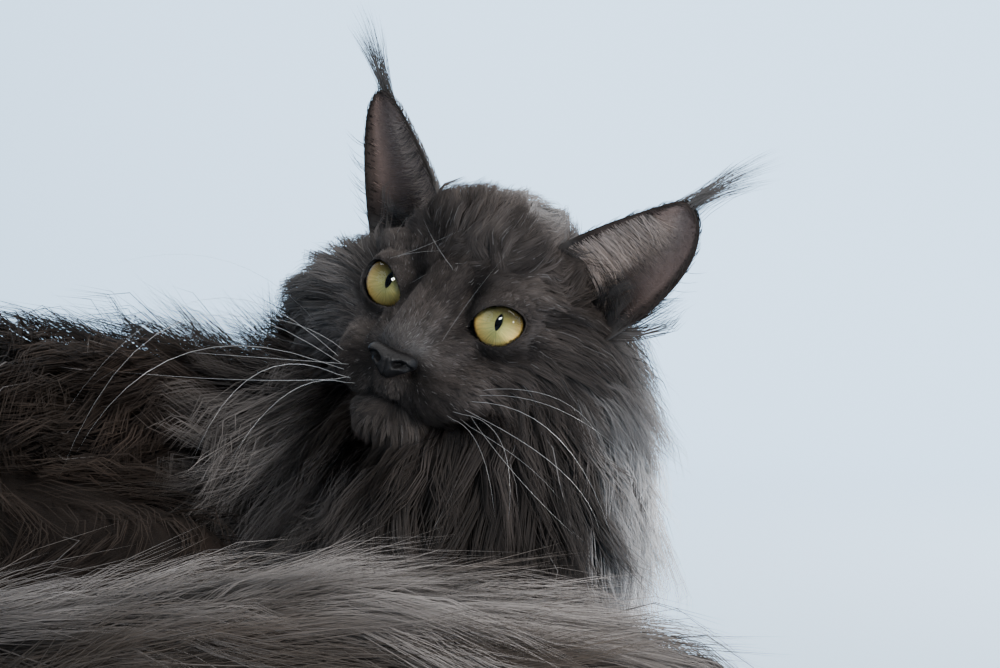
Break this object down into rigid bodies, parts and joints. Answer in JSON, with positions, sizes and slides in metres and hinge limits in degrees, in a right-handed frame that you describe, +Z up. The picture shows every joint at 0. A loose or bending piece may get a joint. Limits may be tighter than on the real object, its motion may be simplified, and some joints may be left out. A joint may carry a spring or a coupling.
{
  "type": "maine coon cat",
  "caption": "Long-haired cat lying down as a still model, head turned to one side, ears up with tufts, bushy tail laid round its front.",
  "frame": {"origin": "bottom centre of the box of the whole cat, on the floor that it lies on", "axes": "+Z up; the face looks mostly to -Y and a little to -X; +X towards the cat's forepaws; the rump is at -X"},
  "size_m": [0.5132, 0.5034, 0.3582],
  "materials": {
    "coat": "matte dark smoke-grey fur",
    "ruff": "matte mid-grey long fur",
    "tail": "matte brownish-grey long fur",
    "eye": "wet gloss, yellow-gold iris",
    "nose_leather": "fine-grained, slightly moist"
  },
  "bodies": {
    "root": {"head": "coat", "eye_left": "eye", "eye_right": "eye", "nose": "nose_leather", "ear_left": "coat", "ear_right": "coat", "neck": "ruff", "chest": "coat", "loin": "coat", "tail_base": "tail", "tail_middle": "tail", "tail_tip": "tail", "foreleg_left": "coat", "foreleg_right": "coat", "hindleg_left": "coat", "hindleg_right": "coat"}
  },
  "joints": []
}
